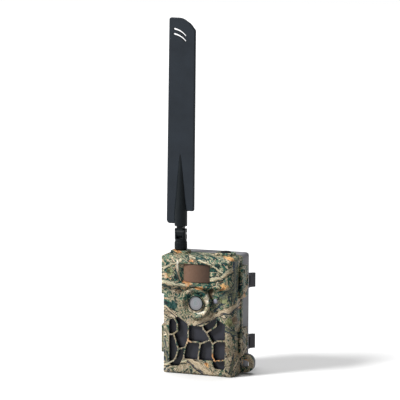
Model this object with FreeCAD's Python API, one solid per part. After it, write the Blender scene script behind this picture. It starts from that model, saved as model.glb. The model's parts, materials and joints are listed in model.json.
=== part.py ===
"""Trail camera: clamshell housing, latches, battery bay, camera electronics and a folding paddle antenna.

Units are millimetres. +Z is up, -Y is the front (the side the lens looks out of) and +X is the latch side.
The origin is the mouth of the 1/4"-20 tripod thread, in the underside of the rear shell.
Every function below returns one sub-part, and the table at the end names and exports them.
"""
import math
import os

import FreeCAD
import Part

V = FreeCAD.Vector

# ---- driving dimensions: housing ------------------------------------------------------------------
BODY_W = 98.0            # housing width at the parting plane
BODY_H = 151.0           # underside to flat top
FRONT_Y = -43.0          # front plane of the lower housing
PART_Y = -10.0           # parting plane between the two shells
REAR_Y = 16.0            # back face of the rear shell
WALL = 2.8
PLAN_R = 12.0            # vertical front edges, seen from above
FACE_R = 6.0             # top corners, seen from the front
TOP_BEVEL = 6.5
BOTTOM_R = 3.5
UPPER_Y = -50.0          # front plane of the upper housing, which stands proud of the lower one
BROW_Z, BROW_SLOPE = 113.2, 5.0    # lower edge of the upper housing, and how far its underside slopes down
LIP = 1.2                # rib along each side of the front shell, near the parting plane
HALF_W = BODY_W / 2

# ---- driving dimensions: front features -----------------------------------------------------------
ALCOVE = {"half": 23.5, "back_half": 17.7, "z0": 118.2, "z1": 142.0, "y": -45.5}
PIR_HALF, PIR_Z0, PIR_Z1, PIR_BULGE = 17.4, 118.8, 141.4, 3.6
LENS_Z = 92.6
BEZEL_R, BEZEL_OUT = 20.6, 7.5
GLASS_R, GLASS_Y = 8.6, -48.3
SENSOR_X, SENSOR_Z, SENSOR_R = 24.0, 95.7, 2.8
MIC_X, MIC_Z, MIC_R = -27.0, 88.0, 0.9
GRILLE_DEPTH = 5.0
RIB_W = 1.9

# Outline of the infrared panel opening, and the crack-shaped ribs that cross it (X, Z).
PANEL = [(-37.6, 12.5), (-35, 10), (-24.5, 10), (-19, 19.8), (20.5, 19.8), (21.6, 12.5), (24, 9.6),
         (34.8, 9.6), (36.8, 12), (37, 65), (35, 68), (26, 73), (23, 72.6), (11, 65), (5, 62.3),
         (-10.5, 63), (-26, 73.2), (-31, 70), (-35, 69.4), (-37.6, 67)]
CRACKS = [
    [(-31, 71), (-27, 65.2), (-26.6, 54.4), (-33, 50), (-38.5, 49.3)],
    [(-31.8, 50.4), (-25.3, 31.5), (-28.8, 20.5), (-31.5, 16.4), (-38.5, 12.8)],
    [(-25.3, 31.5), (-16.4, 33.9)],
    [(-11.8, 65), (-12.4, 43.4), (-16.4, 33.9), (-18.4, 20), (-24.6, 8)],
    [(-12.4, 43.4), (-9.3, 42.1), (1.8, 42.2), (4.1, 40.2), (1, 18)],
    [(4.1, 40.2), (17.4, 46.2)],
    [(6.6, 64), (8.2, 58.8), (12.4, 55), (20.6, 41.2), (20.4, 25.5), (23.4, 19.2), (38, 22.3)],
    [(25.8, 74), (24.9, 64), (12.4, 55)],
    [(20.6, 41.2), (26, 45.3), (38, 46.2)],
]

# ---- driving dimensions: hinges, latches, padlock tabs --------------------------------------------
HINGE_X, HINGE_Y = -52.0, PART_Y
BARREL_R, PIN_R, PIN_GAP = 2.9, 1.25, 0.05
HINGES = [(118.0, 20.0), (41.0, 18.0)]       # centre height and half height
LATCH_X, LATCH_Y = 52.0, -25.0
LATCHES = {"upper": (118.0, 20.0), "lower": (42.5, 17.0)}
LATCH_BARREL = 2.4
EAR_X = 53.2                                 # outer face of the ears on both sides
LOCK_X, LOCK_Z0, LOCK_Z1 = 64.5, 2.0, 24.5
LOCK_HOLE = (49.9, 59.0, 8.3, 17.6)

# ---- driving dimensions: rear fittings ------------------------------------------------------------
THREAD_R, INSERT_R, INSERT_LEN = 2.6, 4.6, 11.0
BRACKETS = {"upper": (103.9, 122.4), "lower": (24.6, 43.1)}
WING_TIP = (52.2, 30.0)                      # end of the bracket wings, in plan
CELL_R, CELL_LEN, CELL_PITCH, CELL_COLUMNS = 7.25, 49.5, 14.9, 6
ROW_Z = [22.0, 80.0]

# ---- driving dimensions: antenna ------------------------------------------------------------------
ANT_X, ANT_Y = -30.0, -22.0
BOSS = {"w": 24.0, "d": 18.0, "h": 3.5}
BOSS_TOP = BODY_H + BOSS["h"]
NUT_Z0, NUT_H, NUT_R = BOSS_TOP + 0.5, 10.4, 8.1
KNUCKLE_Z = 176.0                             # height of the fold pin
STEM_Z0, STEM_TIP, STEM_R = 185.0, 299.0, 8.1
BLADE_T = 5.0
SMA_R = 3.15

# ---- driving dimensions: controls behind the front shell ------------------------------------------
COVER_Y0, COVER_Y1 = -14.0, -12.0
KEY_R = 3.6
KEYS = {"key_up": (0, 78), "key_down": (0, 56), "key_left": (-12, 67), "key_right": (12, 67),
        "key_ok": (0, 67), "key_menu": (-28, 78), "key_test": (28, 78)}
SWITCH_X, SWITCH_Z, SWITCH_TRAVEL = 0.0, 27.0, 8.0
SCREEN_HALF, SCREEN_Z0, SCREEN_Z1 = 23.0, 90.0, 124.0
SD = {"x": -24.0, "w": 24.0, "z": 17.0, "h": 32.0, "t": 2.1}
SIM = {"x": 26.0, "w": 15.0, "z": 17.0, "h": 25.0, "t": 0.8}
DC_X, DC_Y = -26.0, -26.0
COVER_SCREWS = [(side * 42.6, z) for side in (-1, 1) for z in (7.6, 78.0, 142.2)]
BOARD_SCREWS = [(side * 35.5, z) for side in (-1, 1) for z in (16, 108)]


# ---- geometry helpers -----------------------------------------------------------------------------
def box(x0, x1, y0, y1, z0, z1):
    return Part.makeBox(x1 - x0, y1 - y0, z1 - z0, V(x0, y0, z0))


def cyl(radius, start, direction, length):
    return Part.makeCylinder(radius, length, V(*start), V(*direction))


def fuse(shapes):
    shapes = list(shapes)
    return shapes[0].multiFuse(shapes[1:]).removeSplitter() if len(shapes) > 1 else shapes[0]


def cut(shape, tools):
    return shape.cut(list(tools))


def group(shapes):
    """Identical separate pieces that share one node."""
    return Part.makeCompound(list(shapes))


PLANES = {"xy": lambda a, b, c: V(a, b, c), "xz": lambda a, b, c: V(a, c, b),
          "yz": lambda a, b, c: V(c, a, b)}
NORMALS = {"xy": V(0, 0, 1), "xz": V(0, 1, 0), "yz": V(1, 0, 0)}


def prism(plane, points, low, high, radii=0.0):
    """Straight solid from a closed outline whose corners are rounded, one radius each or one for all."""
    count = len(points)
    radii = radii if isinstance(radii, (list, tuple)) else [radii] * count
    place = PLANES[plane]
    corners = []
    for i, (point, radius) in enumerate(zip(points, radii)):
        here = V(point[0], point[1], 0)
        back = (V(*points[i - 1], 0) - here).normalize()
        ahead = (V(*points[(i + 1) % count], 0) - here).normalize()
        if radius <= 0:
            corners.append((here, None, here))
            continue
        half = back.getAngle(ahead) / 2
        reach = radius / math.tan(half)
        bisector = (back + ahead).normalize()
        middle = here + bisector * (radius / math.sin(half) - radius)
        corners.append((here + back * reach, middle, here + ahead * reach))
    edges = []
    for i, (start, middle, end) in enumerate(corners):
        at = [place(p.x, p.y, low) if p else None for p in (start, middle, end)]
        last = corners[i - 1][2]
        last = place(last.x, last.y, low)
        if (at[0] - last).Length > 1e-6:
            edges.append(Part.LineSegment(last, at[0]).toShape())
        if middle:
            edges.append(Part.Arc(*at).toShape())
    return Part.Face(Part.Wire(edges)).extrude(NORMALS[plane] * (high - low))


def rounded_box(x0, x1, y0, y1, z0, z1, radius, plane="xz"):
    """Box with the corners rounded that show in the given plane."""
    if plane == "xz":
        return prism("xz", [(x0, z0), (x1, z0), (x1, z1), (x0, z1)], y0, y1, radius)
    if plane == "xy":
        return prism("xy", [(x0, y0), (x1, y0), (x1, y1), (x0, y1)], z0, z1, radius)
    return prism("yz", [(y0, z0), (y1, z0), (y1, z1), (y0, z1)], x0, x1, radius)


def turned(points, origin, axis):
    """Solid of revolution. Points are (radius, distance along the axis)."""
    axis = V(*axis)
    side = V(0, 0, 1) if abs(axis.z) < 0.5 else V(1, 0, 0)
    path = [V(*origin) + side * r + axis * d for r, d in points]
    return Part.Face(Part.makePolygon(path + path[:1])).revolve(V(*origin), axis, 360)


# ---- housing --------------------------------------------------------------------------------------
def front_form(inset=0.0, overrun=0.0):
    """Outer form of the front shell, or its cavity when inset by the wall."""
    half, low, high = HALF_W - inset, inset, BODY_H - inset
    lower, upper, back = FRONT_Y + inset, UPPER_Y + inset, PART_Y + overrun
    brow, sill = BROW_Z + inset, BROW_Z + inset - BROW_SLOPE
    bevel = TOP_BEVEL - 0.4 * inset
    shrink = max(PLAN_R - inset, 1)

    def plan(front, z0):
        return prism("xy", [(-half, back), (-half, front), (half, front), (half, back)],
                     z0, high, [0, shrink, shrink, 0])
    side = prism("yz", [(back, low), (lower, low), (lower, sill), (upper, brow),
                        (upper, high - bevel), (upper + bevel, high), (back, high)],
                 -half, half, [0, max(BOTTOM_R - inset, 0.6), 2.0, 1.2, 2.0, 3.0, 0])
    face_r = max(FACE_R - inset, 1)
    face = prism("xz", [(-half, low), (half, low), (half, high), (-half, high)],
                 upper - 1, back, [face_r * 0.6, face_r * 0.6, face_r, face_r])
    return fuse([plan(lower, low), plan(upper, sill - 1)]).common(side).common(face)


def alcove_recess():
    """Recess with slanting side walls that frames the motion sensor's window."""
    a = ALCOVE
    front = UPPER_Y - 1
    spread = (UPPER_Y - front) * (a["half"] - a["back_half"]) / (a["y"] - UPPER_Y)
    wide = a["half"] + spread
    return prism("xy", [(-wide, front), (wide, front), (a["back_half"], a["y"]),
                        (-a["back_half"], a["y"])], a["z0"], a["z1"])


def panel_cells():
    """The openings between the cracks: the panel outline less its ribs."""
    low, high = FRONT_Y - 1, FRONT_Y + GRILLE_DEPTH + 0.5
    opening = prism("xz", PANEL, low, high)
    ribs = []
    for crack in CRACKS:
        for (x0, z0), (x1, z1) in zip(crack, crack[1:]):
            length = math.hypot(x1 - x0, z1 - z0)
            nx, nz = -(z1 - z0) / length * RIB_W / 2, (x1 - x0) / length * RIB_W / 2
            ribs.append(prism("xz", [(x0 + nx, z0 + nz), (x1 + nx, z1 + nz),
                                     (x1 - nx, z1 - nz), (x0 - nx, z0 - nz)], low - 1, high + 1))
        ribs += [cyl(RIB_W / 2, (x, low - 1, z), (0, 1, 0), high - low + 2) for x, z in crack]
    return cut(opening, ribs)


def padlock_tab(y0, y1):
    """Half-round eye beside the case's lower corner."""
    x0, x1, z0, z1 = LOCK_HOLE
    tab = prism("xz", [(HALF_W - 2, LOCK_Z0), (LOCK_X, LOCK_Z0), (LOCK_X, LOCK_Z1), (HALF_W - 2, LOCK_Z1)],
                y0, y1, [0, 9.5, 9.5, 0])
    return cut(tab, [prism("xz", [(x0, z0), (x1, z0), (x1, z1), (x0, z1)],
                           y0 - 1, y1 + 1, [1.2, 3.6, 3.6, 1.2])])


def hinge_parts(front):
    """Knuckles and their webs: the front shell has the two end ones, the rear shell the middle one."""
    pieces = []
    for centre, half in HINGES:
        gap, end = 0.4, 9.0
        spans = [(centre - half, centre - half + end), (centre + half - end, centre + half)]
        if not front:
            spans = [(spans[0][1] + gap, spans[1][0] - gap)]
        for z0, z1 in spans:
            pieces.append(cyl(BARREL_R, (HINGE_X, HINGE_Y, z0), (0, 0, 1), z1 - z0))
            if front:
                pieces.append(box(HINGE_X - 1.5, 1.0 - HALF_W, HINGE_Y - 6, HINGE_Y - 0.3, z0, z1))
            else:
                pieces.append(box(HINGE_X - 1.5, 1.0 - HALF_W, HINGE_Y + 0.3, HINGE_Y + 6, z0, z1))
        if front:
            pieces.append(rounded_box(-EAR_X, 1.0 - HALF_W, -29.5, -14.5, centre - half, centre + half,
                                      2.0, "yz"))
    return pieces


def hinge_bores():
    """Bores for the pins through the knuckles of both shells."""
    return [cyl(PIN_R + PIN_GAP, (HINGE_X, HINGE_Y, c - h - 1), (0, 0, 1), 2 * h + 2) for c, h in HINGES]


def ear_windows(side, y):
    """Small windows near the ends of each ear."""
    tools = []
    for centre, half in (HINGES if side < 0 else LATCHES.values()):
        for z in (centre - half + 7, centre + half - 7):
            x = sorted((side * (EAR_X - 1.6), side * (EAR_X + 1)))
            tools.append(rounded_box(x[0], x[1], y - 2.2, y + 2.2, z - 1.9, z + 1.9, 0.6, "yz"))
    return tools


def latch_lugs():
    """Ears on the front shell that carry the latch pins."""
    pieces = []
    for centre, half in LATCHES.values():
        for z0 in (centre - half, centre + half - 3.5):
            pieces.append(cyl(LATCH_BARREL + 0.2, (LATCH_X, LATCH_Y, z0), (0, 0, 1), 3.5))
            pieces.append(box(HALF_W - 1, LATCH_X, LATCH_Y - 2.6, LATCH_Y + 2.6, z0, z0 + 3.5))
    return pieces


def boss(x):
    b = BOSS
    pad = rounded_box(x - b["w"] / 2, x + b["w"] / 2, ANT_Y - b["d"] / 2, ANT_Y + b["d"] / 2,
                      BODY_H - 1, BOSS_TOP, 5.0, "xy")
    top_edges = [e for e in pad.Edges if all(abs(v.Z - BOSS_TOP) < 1e-6 for v in e.Vertexes)]
    return pad.makeFillet(1.2, top_edges)


def screw_posts(radius=3.0, bore=1.2):
    """Posts inside the front shell that the inner cover screws to."""
    posts = []
    for x, z in COVER_SCREWS:
        y0 = (UPPER_Y if z > BROW_Z else FRONT_Y) + WALL - 0.4
        post = cyl(radius, (x, y0, z), (0, 1, 0), COVER_Y0 - y0)
        posts.append(cut(post, [cyl(bore, (x, COVER_Y0 - 12, z), (0, 1, 0), 13)]))
    return posts


def front_shell():
    shell = cut(front_form(), [front_form(WALL, 1.0)])
    pad = box(-40, 40, FRONT_Y + 1, FRONT_Y + GRILLE_DEPTH, 6.5, 74.8)
    alcove = box(-28, 28, UPPER_Y + 1, ALCOVE["y"] + WALL, BROW_Z, 146.5)
    backing = box(-24, 24, UPPER_Y, FRONT_Y + WALL, BROW_Z - BROW_SLOPE - 4, BROW_Z + 1)
    solids = fuse([alcove, backing]).common(front_form(0.2))
    lips = [box(min(edges), max(edges), -19, -13.5, 4, BODY_H - 7)
            for edges in ((side * (HALF_W - 1), side * (HALF_W + LIP)) for side in (-1, 1))]
    posts = [post.common(front_form(0.5)) for post in screw_posts()]
    shell = fuse([shell, pad, solids, padlock_tab(-15.0, PART_Y - 0.2), boss(ANT_X), boss(-ANT_X)]
                 + lips + posts + hinge_parts(True) + latch_lugs())
    tools = [alcove_recess(), panel_cells(),
             box(-PIR_HALF, PIR_HALF, ALCOVE["y"] - 3, ALCOVE["y"] + 5, PIR_Z0, PIR_Z1),
             cyl(17.0, (0, FRONT_Y - 1, LENS_Z), (0, 1, 0), 8),
             cyl(BEZEL_R + 0.05, (0, UPPER_Y - 1, LENS_Z), (0, 1, 0), FRONT_Y - UPPER_Y + 1),
             cyl(SENSOR_R + 0.1, (SENSOR_X, FRONT_Y - 1, SENSOR_Z), (0, 1, 0), 6),
             cyl(MIC_R, (MIC_X, FRONT_Y - 1, MIC_Z), (0, 1, 0), 6),
             cyl(3.3, (ANT_X, ANT_Y, 140), (0, 0, 1), 20),
             cyl(5.0, (-ANT_X, ANT_Y, 140), (0, 0, 1), 20),
             cyl(4.0, (DC_X, DC_Y, -1), (0, 0, 1), 6),
             rounded_box(DC_X - 8, DC_X + 8, DC_Y - 6, DC_Y + 6, -1, 1.4, 3, "xy")]
    tools += [cyl(PIN_R, (LATCH_X, LATCH_Y, c - h - 1), (0, 0, 1), 2 * h + 2) for c, h in LATCHES.values()]
    return cut(shell, tools + hinge_bores() + ear_windows(-1, -20.5))


def rear_form(inset=0.0):
    """Outer form of the rear shell, or its cavity when inset by the wall."""
    half, low, high, back = HALF_W - inset, inset, BODY_H - inset, REAR_Y - inset
    front = PART_Y - (1 if inset else 0)
    r = max(4.0 - inset, 0.8)
    plan = prism("xy", [(-half, front), (half, front), (half, back), (-half, back)], low, high, [0, 0, r, r])
    side = prism("yz", [(front, low), (back, low), (back, high), (front, high)], -half, half, [0, 2, r, 0])
    face_r = max(FACE_R - inset, 1)
    face = prism("xz", [(-half, low), (half, low), (half, high), (-half, high)],
                 front, back, [face_r * 0.6, face_r * 0.6, face_r, face_r])
    return plan.common(side).common(face)


def rim(width, inset, y0, y1):
    """Rectangular ring that follows the mouth of the shells."""
    def loop(d):
        return rounded_box(-HALF_W + d, HALF_W - d, y0, y1, d, BODY_H - d, max(FACE_R - d, 1.0))
    return cut(loop(inset), [loop(inset + width)])


def rear_shell():
    shell = cut(rear_form(), [rear_form(WALL - 0.3)])
    tripod_block = box(-9, 9, PART_Y + 2, REAR_Y - 1, 1, 15)
    catches = [box(HALF_W - 1, HALF_W + 0.8, -9.2, -7.2, c - h + 5, c + h - 5) for c, h in LATCHES.values()]
    shell = fuse([shell, tripod_block, padlock_tab(PART_Y + 0.2, -5.6)] + catches + hinge_parts(False))
    tools = [cyl(INSERT_R, (0, 0, -1), (0, 0, 1), INSERT_LEN + 1.2), rim(1.5, 0.65, PART_Y - 1, PART_Y + 1.6)]
    tools += [cyl(1.3, (x, REAR_Y - 4, z), (0, 1, 0), 5) for x, z in bracket_screw_places()]
    tools += [rounded_box(-38, 38, REAR_Y - 0.6, REAR_Y + 1, 50.5, 97.5, 4.0)]
    return cut(shell, tools + hinge_bores())


def case_gasket():
    return rim(1.3, 0.75, PART_Y + 0.1, PART_Y + 1.6)


def tripod_insert():
    """Brass insert for a quarter-inch thread, shown by its grooved outside and its thread's bore."""
    body = cyl(INSERT_R, (0, 0, 0), (0, 0, 1), INSERT_LEN)
    grooves = [cut(cyl(INSERT_R + 1, (0, 0, z), (0, 0, 1), 1.2),
                   [cyl(INSERT_R - 0.5, (0, 0, z), (0, 0, 1), 1.2)]) for z in (3.2, 6.6)]
    return cut(body, grooves + [cyl(THREAD_R, (0, 0, -1), (0, 0, 1), INSERT_LEN + 2)])


def bracket_screw_places():
    return [(x, (z0 + z1) / 2) for z0, z1 in BRACKETS.values() for x in (-30.0, 30.0)]


def strap_bracket(z0, z1):
    """Tree bracket: a plate with two flared wings, each with a slot for the strap."""
    tip_x, tip_y = WING_TIP
    front, back, bend = REAR_Y + 0.1, REAR_Y + 2.9, REAR_Y + 9.0
    wing = [(43.0, front), (47.0, front), (47.3, bend), (tip_x, tip_y), (tip_x - 3.6, tip_y),
            (44.5, bend + 1.2), (44.2, back), (43.0, back)]
    mirror = [(-x, y) for x, y in wing][::-1]
    pieces = [box(-45.0, 45.0, front, back, z0, z1)]
    pieces += [prism("xy", shape, z0, z1) for shape in (wing, mirror)]
    pieces += [box(x - 1.2, x + 1.2, back - 1, back + 4, z0, z1) for x in (-14.0, 14.0)]
    middle = (z0 + z1) / 2
    slots = [rounded_box(side * 49 - 8, side * 49 + 8, back + 0.7, bend - 0.6, middle - 6.6, middle + 6.6, 1.4,
                         "yz") for side in (-1, 1)]
    holes = [cyl(2.0, (x, REAR_Y - 1, middle), (0, 1, 0), 5) for x in (-30.0, 30.0)]
    return cut(fuse(pieces), slots + holes)


def pan_screw(x, y, z, direction, head_r, head_h, shank_r, shank_len):
    """Cross-head screw: direction is the way the head faces along Y."""
    head = turned([(0, 0), (head_r, 0), (head_r, head_h * 0.4), (head_r * 0.7, head_h), (0, head_h)],
                  (x, y, z), (0, direction, 0))
    shank = cyl(shank_r, (x, y, z), (0, -direction, 0), shank_len)
    top = y + direction * head_h
    slot = sorted((top, top - direction * head_h * 0.5))
    cross = [box(x - a, x + a, slot[0], slot[1], z - b, z + b)
             for a, b in ((head_r * 0.55, 0.28), (0.28, head_r * 0.55))]
    return cut(fuse([head, shank]), cross)


def bracket_screws():
    return group(pan_screw(x, REAR_Y + 2.95, z, 1, 3.4, 1.9, 1.25, 5.4) for x, z in bracket_screw_places())


def hinge_pins():
    return group(cyl(PIN_R, (HINGE_X, HINGE_Y, c - h + 0.2), (0, 0, 1), 2 * h - 0.4) for c, h in HINGES)


# ---- power ----------------------------------------------------------------------------------------
def cell_places():
    first = -CELL_PITCH * (CELL_COLUMNS - 1) / 2
    return [(first + i * CELL_PITCH, z) for z in ROW_Z for i in range(CELL_COLUMNS)]


def battery_tray():
    back = 7.2
    ribs = [box(x - 1, x + 1, back - 0.5, REAR_Y - WALL + 0.2, 18.4, 135.4) for x in (-40, -20, 0, 20, 40)]
    tray = fuse([box(-45.6, 45.6, -8.4, back, 18.4, 135.4)] + ribs)
    troughs = []
    for x, z in cell_places():
        troughs.append(cyl(CELL_R + 0.2, (x, 0, z - 2.2), (0, 0, 1), CELL_LEN + 3.6))
        troughs.append(box(x - CELL_R - 0.2, x + CELL_R + 0.2, -10, 0, z - 2.2, z + CELL_LEN + 1.4))
    return cut(tray, troughs)


def battery_cells():
    cells = []
    for x, z in cell_places():
        profile = [(0, 0), (CELL_R - 0.6, 0), (CELL_R, 0.6), (CELL_R, CELL_LEN - 1.6),
                   (CELL_R - 0.6, CELL_LEN - 1), (2.75, CELL_LEN - 1), (2.75, CELL_LEN), (0, CELL_LEN)]
        cells.append(turned(profile, (x, 0, z), (0, 0, 1)))
    return group(cells)


def battery_springs():
    """Negative contacts, each a short tapered stack of turns under its cell."""
    springs = []
    for x, z in cell_places():
        steps = [(0, -1.9), (5.2, -1.9), (5.2, -1.4), (4.2, -1.4), (4.2, -0.9), (3.2, -0.9), (3.2, -0.05),
                 (0, -0.05)]
        springs.append(turned(steps, (x, 0, z), (0, 0, 1)))
    return group(springs)


def battery_contacts():
    """Positive plates above the cells."""
    return group(box(x - 4.5, x + 4.5, -4.5, 4.5, z + CELL_LEN + 0.6, z + CELL_LEN + 1.1)
                 for x, z in cell_places())


def dc_socket():
    body = rounded_box(DC_X - 5, DC_X + 5, DC_Y - 5, DC_Y + 5, WALL + 0.1, 11.6, 1, "xy")
    return fuse([cut(body, [cyl(3.1, (DC_X, DC_Y, 0), (0, 0, 1), 10)]),
                 cyl(1.0, (DC_X, DC_Y, WALL + 2), (0, 0, 1), 6)])


def dc_bung():
    """Soft cover that seals the power socket, flush with the underside."""
    plate = rounded_box(DC_X - 7.7, DC_X + 7.7, DC_Y - 5.7, DC_Y + 5.7, 0.2, 1.3, 2.7, "xy")
    plug = cut(cyl(3.9, (DC_X, DC_Y, 1.2), (0, 0, 1), 1.5), [cyl(2.6, (DC_X, DC_Y, 1.6), (0, 0, 1), 2)])
    pull = [box(DC_X - 5 + 2 * i, DC_X - 4 + 2 * i, DC_Y - 3, DC_Y + 3, 0, 0.3) for i in range(6)]
    return cut(fuse([plate, plug]), pull)


# ---- optics and sensors ---------------------------------------------------------------------------
def lens_bezel():
    """Raised ring whose dish dips round the raised mouth that holds the glass."""
    out = -BEZEL_OUT
    outside = [(BEZEL_R, 0.0), (BEZEL_R - 1.6, out + 1.0), (BEZEL_R - 2.6, out), (16.6, out),
               (15.9, out + 0.5), (11.6, out + 4.6), (10.8, out + 4.4), (9.7, out + 2.2), (9.7, 6.5),
               (16.8, 6.5), (16.8, 0.0)]
    return turned(outside, (0, FRONT_Y, LENS_Z), (0, 1, 0))


def lens_trim_ring():
    front, back = GLASS_Y - 1.1, GLASS_Y
    return turned([(GLASS_R, front), (9.6, front), (9.6, back), (GLASS_R, back)], (0, 0, LENS_Z), (0, 1, 0))


def lens_window():
    return cyl(9.6, (0, GLASS_Y, LENS_Z), (0, 1, 0), 1.2)


def lens_barrel():
    """Stepped lens barrel with its front element."""
    steps = [(4.6, -3.4), (5.0, -4.0), (9.4, -4.0), (9.4, 4.5), (7.6, 4.5), (7.6, 8.8), (2.2, 8.8), (2.2, 6.4)]
    return turned(steps, (0, FRONT_Y, LENS_Z), (0, 1, 0))


def lens_element():
    """Domed front element, seated in the barrel's mouth."""
    return turned([(0, -3.5), (1.6, -3.4), (3.0, -3.1), (3.9, -2.7), (2.0, 6.3), (0, 6.3)],
                  (0, FRONT_Y, LENS_Z), (0, 1, 0))


def lens_holder():
    block = rounded_box(-15, 15, -34, -26, LENS_Z - 11, LENS_Z + 11, 2)
    slide_way = box(-12, 12, -31.4, -29.8, LENS_Z - 6.3, LENS_Z + 6.3)
    return cut(block, [slide_way, cyl(4.4, (0, -35, LENS_Z), (0, 1, 0), 10)])


def ir_cut_filter():
    """Sliding frame that brings its filter in front of the image sensor by day."""
    frame = box(-9, 2.6, -31.1, -30.1, LENS_Z - 6, LENS_Z + 6)
    return cut(frame, [cyl(1.5, (-7.0, -32, LENS_Z + s * 4), (0, 1, 0), 3) for s in (-1, 1)])


def image_sensor():
    board = rounded_box(-14, 14, -25.9, -24.3, LENS_Z - 10.5, LENS_Z + 10.5, 1.5)
    chip = box(-4, 4, -27.6, -25.9, LENS_Z - 4, LENS_Z + 4).common(cyl(4.2, (0, -28, LENS_Z), (0, 1, 0), 3))
    return fuse([board, chip])


def pir_lens():
    """Curved window of the motion sensor, with its flange behind the alcove wall."""
    wall_y, half = ALCOVE["y"], PIR_HALF - 0.3
    radius = (PIR_HALF ** 2 + PIR_BULGE ** 2) / (2 * PIR_BULGE)
    centre_y = wall_y - PIR_BULGE + radius
    z0, z1, skin = PIR_Z0 + 0.2, PIR_Z1 - 0.2, 1.0
    flange_y = wall_y + WALL + 0.1
    block = box(-half, half, wall_y - 12, wall_y + 0.2, z0, z1)
    outer = cyl(radius, (0, centre_y, z0), (0, 0, 1), z1 - z0).common(block)
    outer = fuse([outer, box(-half, half, wall_y, flange_y + 0.5, z0, z1)])
    inner = cyl(radius - skin, (0, centre_y, z0 + skin), (0, 0, 1), z1 - z0 - 2 * skin)
    inner = inner.common(box(skin - half, half - skin, wall_y - 12, flange_y + 3, z0, z1))
    flange = rounded_box(-half - 2.2, half + 2.2, flange_y, flange_y + 1.0, z0 - 1.7, z1 + 1.7, 2)
    return cut(fuse([outer, flange]), [inner])


def pir_sensor():
    """Metal-can sensor on its small board."""
    middle = (PIR_Z0 + PIR_Z1) / 2
    can = turned([(0, 0), (4.1, 0), (4.1, 3.6), (4.7, 3.6), (4.7, 4.2), (0, 4.2)], (0, -29.2, middle),
                 (0, 1, 0))
    window = box(-1.7, 1.7, -30, -28.8, middle - 1.2, middle + 1.2)
    return cut(can, [window])


def pir_board():
    middle = (PIR_Z0 + PIR_Z1) / 2
    return rounded_box(-17, 17, -24.9, -23.5, middle - 11, middle + 11, 1.5)


def light_sensor_window():
    r = SENSOR_R
    return turned([(0, -0.9), (r * 0.5, -0.75), (r * 0.9, -0.3), (r, 0), (r, WALL + 0.2), (0, WALL + 0.2)],
                  (SENSOR_X, FRONT_Y, SENSOR_Z), (0, 1, 0))


def microphone():
    return cut(cyl(3.0, (MIC_X, FRONT_Y + WALL + 0.1, MIC_Z), (0, 1, 0), 2.6),
               [cyl(0.6, (MIC_X, FRONT_Y, MIC_Z), (0, 1, 0), 4)])


def ir_window():
    """Dark filter sheet behind the cracked grille."""
    return rounded_box(-39, 39, FRONT_Y + GRILLE_DEPTH + 0.05, FRONT_Y + GRILLE_DEPTH + 1.8, 8, 74.6, 3)


def led_places():
    return [(x, z) for z in (15.5, 25.5, 35.5, 45.5, 55.5, 65.5) for x in (-30, -20, -10, 0, 10, 20, 30)
            if not (z == 65.5 and abs(x) < 15)]


def ir_leds():
    profile = [(0, 0), (0.9, 0.15), (1.8, 0.75), (2.5, 2.2), (2.5, 6.4), (2.9, 6.4), (2.9, 7.4), (0, 7.4)]
    return group(turned(profile, (x, -35.9, z), (0, 1, 0)) for x, z in led_places())


def ir_led_board():
    return rounded_box(-38, 38, -28.4, -26.8, 12, 73, 2)


# ---- electronics and controls ---------------------------------------------------------------------
def main_board():
    board = rounded_box(-39.5, 39.5, -22.2, -20.6, 12, 112, 2)
    return cut(board, [cyl(1.4, (x, -23, z), (0, 1, 0), 4) for x, z in BOARD_SCREWS])


def processor():
    """Processor under its finned heat spreader."""
    base = box(-9, 9, -20.6, -19.2, 88, 106)
    fins = [box(-9 + 3 * i, -7.4 + 3 * i, -19.3, -18.2, 88, 106) for i in range(6)]
    return fuse([base] + fins)


def modem_shield():
    can = rounded_box(-36, -12, -20.6, -18.0, 84, 105, 1)
    return cut(can, [cyl(0.9, (-33 + 3 * i, -19, 88 + 3.5 * j), (0, 1, 0), 3)
                     for i in range(7) for j in range(4)])


def keypad_board():
    board = rounded_box(-36, 36, -18.2, -17.0, 51.5, 84, 2)
    domes = [cyl(2.4, (x, -17.0, z), (0, 1, 0), 0.7) for x, z in KEYS.values()]
    return fuse([board] + domes)


def switch_slot(y0, y1, margin=0.0):
    return rounded_box(SWITCH_X - 4.5 - margin, SWITCH_X + SWITCH_TRAVEL + 4.5 + margin, y0, y1,
                       SWITCH_Z - 2.2 - margin, SWITCH_Z + 2.2 + margin, 1.2)


def card_pocket(card):
    """Opening in the inner cover through which a card is pushed and pulled."""
    half = card["w"] / 2 + 3.5
    return rounded_box(card["x"] - half, card["x"] + half, COVER_Y0 - 1, COVER_Y1 + 1, 5.2, card["z"] + 7, 1.5)


def inner_cover():
    """Panel behind the electronics, seen when the case is open."""
    plate = rounded_box(-HALF_W + WALL + 0.5, HALF_W - WALL - 0.5, COVER_Y0, COVER_Y1,
                        WALL + 0.5, BODY_H - WALL - 0.5, 3.4)
    frame = rounded_box(-26.5, 26.5, COVER_Y1 - 0.2, COVER_Y1 + 0.6, SCREEN_Z0 - 3.5, SCREEN_Z1 + 3.5, 2.5)
    window = rounded_box(-SCREEN_HALF - 0.3, SCREEN_HALF + 0.3, -16, -10, SCREEN_Z0 - 0.3, SCREEN_Z1 + 0.3, 1)
    tools = [window, switch_slot(-16, -10), card_pocket(SD), card_pocket(SIM)]
    tools += [cyl(KEY_R + 0.25, (x, -16, z), (0, 1, 0), 6) for x, z in KEYS.values()]
    tools += [cyl(1.5, (x, -16, z), (0, 1, 0), 6) for x, z in COVER_SCREWS]
    return cut(fuse([plate, frame]), tools)


def lcd_screen():
    glass = rounded_box(-SCREEN_HALF, SCREEN_HALF, -14.3, -12.2, SCREEN_Z0, SCREEN_Z1, 0.8)
    module = box(-25, 25, -17.6, -14.2, SCREEN_Z0 - 2, SCREEN_Z1 + 2)
    return fuse([glass, module])


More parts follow.
